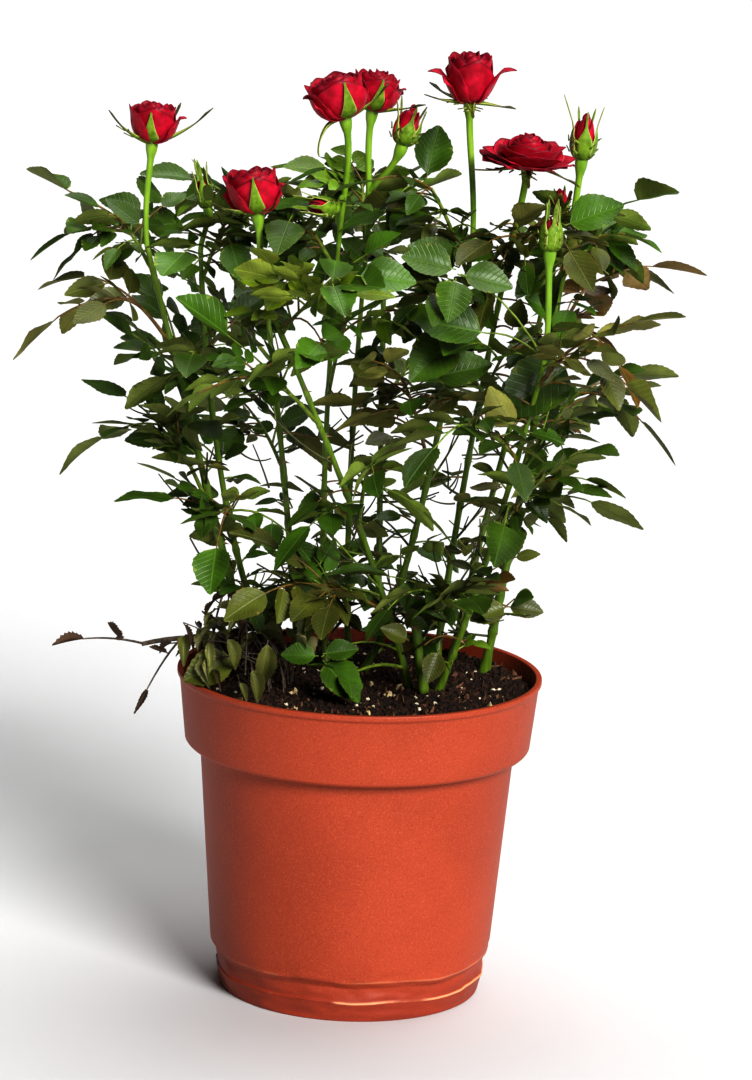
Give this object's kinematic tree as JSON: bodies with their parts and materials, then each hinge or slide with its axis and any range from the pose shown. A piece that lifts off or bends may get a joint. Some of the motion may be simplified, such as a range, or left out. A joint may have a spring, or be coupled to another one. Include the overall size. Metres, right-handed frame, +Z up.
{
  "type": "potted miniature rose bush",
  "caption": "Miniature rose bush with red blooms and glossy compound leaves on green canes, growing in a round terracotta-coloured plastic pot.",
  "frame": {"origin": "centre of the pot's flat underside, on the surface the pot stands on", "axes": "+Z up, along the pot's axis; -Y faces the viewer, +X to the viewer's right"},
  "size_m": [0.327, 0.2818, 0.4438],
  "materials": {
    "pot": "satin",
    "compost": "rough",
    "cane": "satin",
    "leaf": "satin",
    "young_leaf": "satin",
    "wilted_leaf": "matte",
    "withered_twig": "matte",
    "rose": "velvet"
  },
  "bodies": {
    "root": {"pot": "pot", "compost": "compost", "cane_left_outer": "cane", "cane_left_inner": "cane", "cane_front_diagonal": "cane", "cane_front_right": "cane", "cane_right": "cane", "cane_middle": "cane", "cane_centre_left": "cane", "cane_centre": "cane", "cane_back_right": "cane", "cane_back_left": "cane", "cane_far_back": "cane", "cane_far_right": "cane", "cane_stub": "cane", "flower_left_outer": "rose", "flower_left_inner": "rose", "flower_front_diagonal": "rose", "flower_front_right": "rose", "flower_right": "rose", "flower_middle": "rose", "flower_centre_left": "rose", "flower_centre": "rose", "flower_back_right": "rose", "foliage_left_outer_1": "withered_twig", "foliage_left_outer_2": "wilted_leaf", "foliage_left_outer_3": "leaf", "foliage_left_outer_4": "leaf", "foliage_left_outer_5": "leaf", "foliage_left_outer_6": "leaf", "foliage_left_inner_1": "leaf", "foliage_left_inner_2": "leaf", "foliage_left_inner_3": "leaf", "foliage_front_diagonal_1": "leaf", "foliage_front_diagonal_2": "leaf", "foliage_front_diagonal_3": "leaf", "foliage_front_diagonal_4": "leaf", "foliage_front_diagonal_5": "young_leaf", "foliage_front_right_1": "leaf", "foliage_front_right_2": "leaf", "foliage_front_right_3": "leaf", "foliage_front_right_4": "leaf", "foliage_right_1": "leaf", "foliage_right_2": "leaf", "foliage_right_3": "leaf", "foliage_middle_1": "leaf", "foliage_middle_2": "leaf", "foliage_middle_3": "leaf", "foliage_centre_left_1": "leaf", "foliage_centre_left_2": "leaf", "foliage_centre_1": "leaf", "foliage_back_right_1": "leaf", "foliage_back_right_2": "leaf", "foliage_back_left_1": "leaf", "foliage_back_left_2": "leaf", "foliage_back_left_3": "leaf", "foliage_far_back_1": "leaf", "foliage_far_back_2": "leaf", "foliage_far_right_1": "leaf", "foliage_far_right_2": "leaf"}
  },
  "joints": []
}
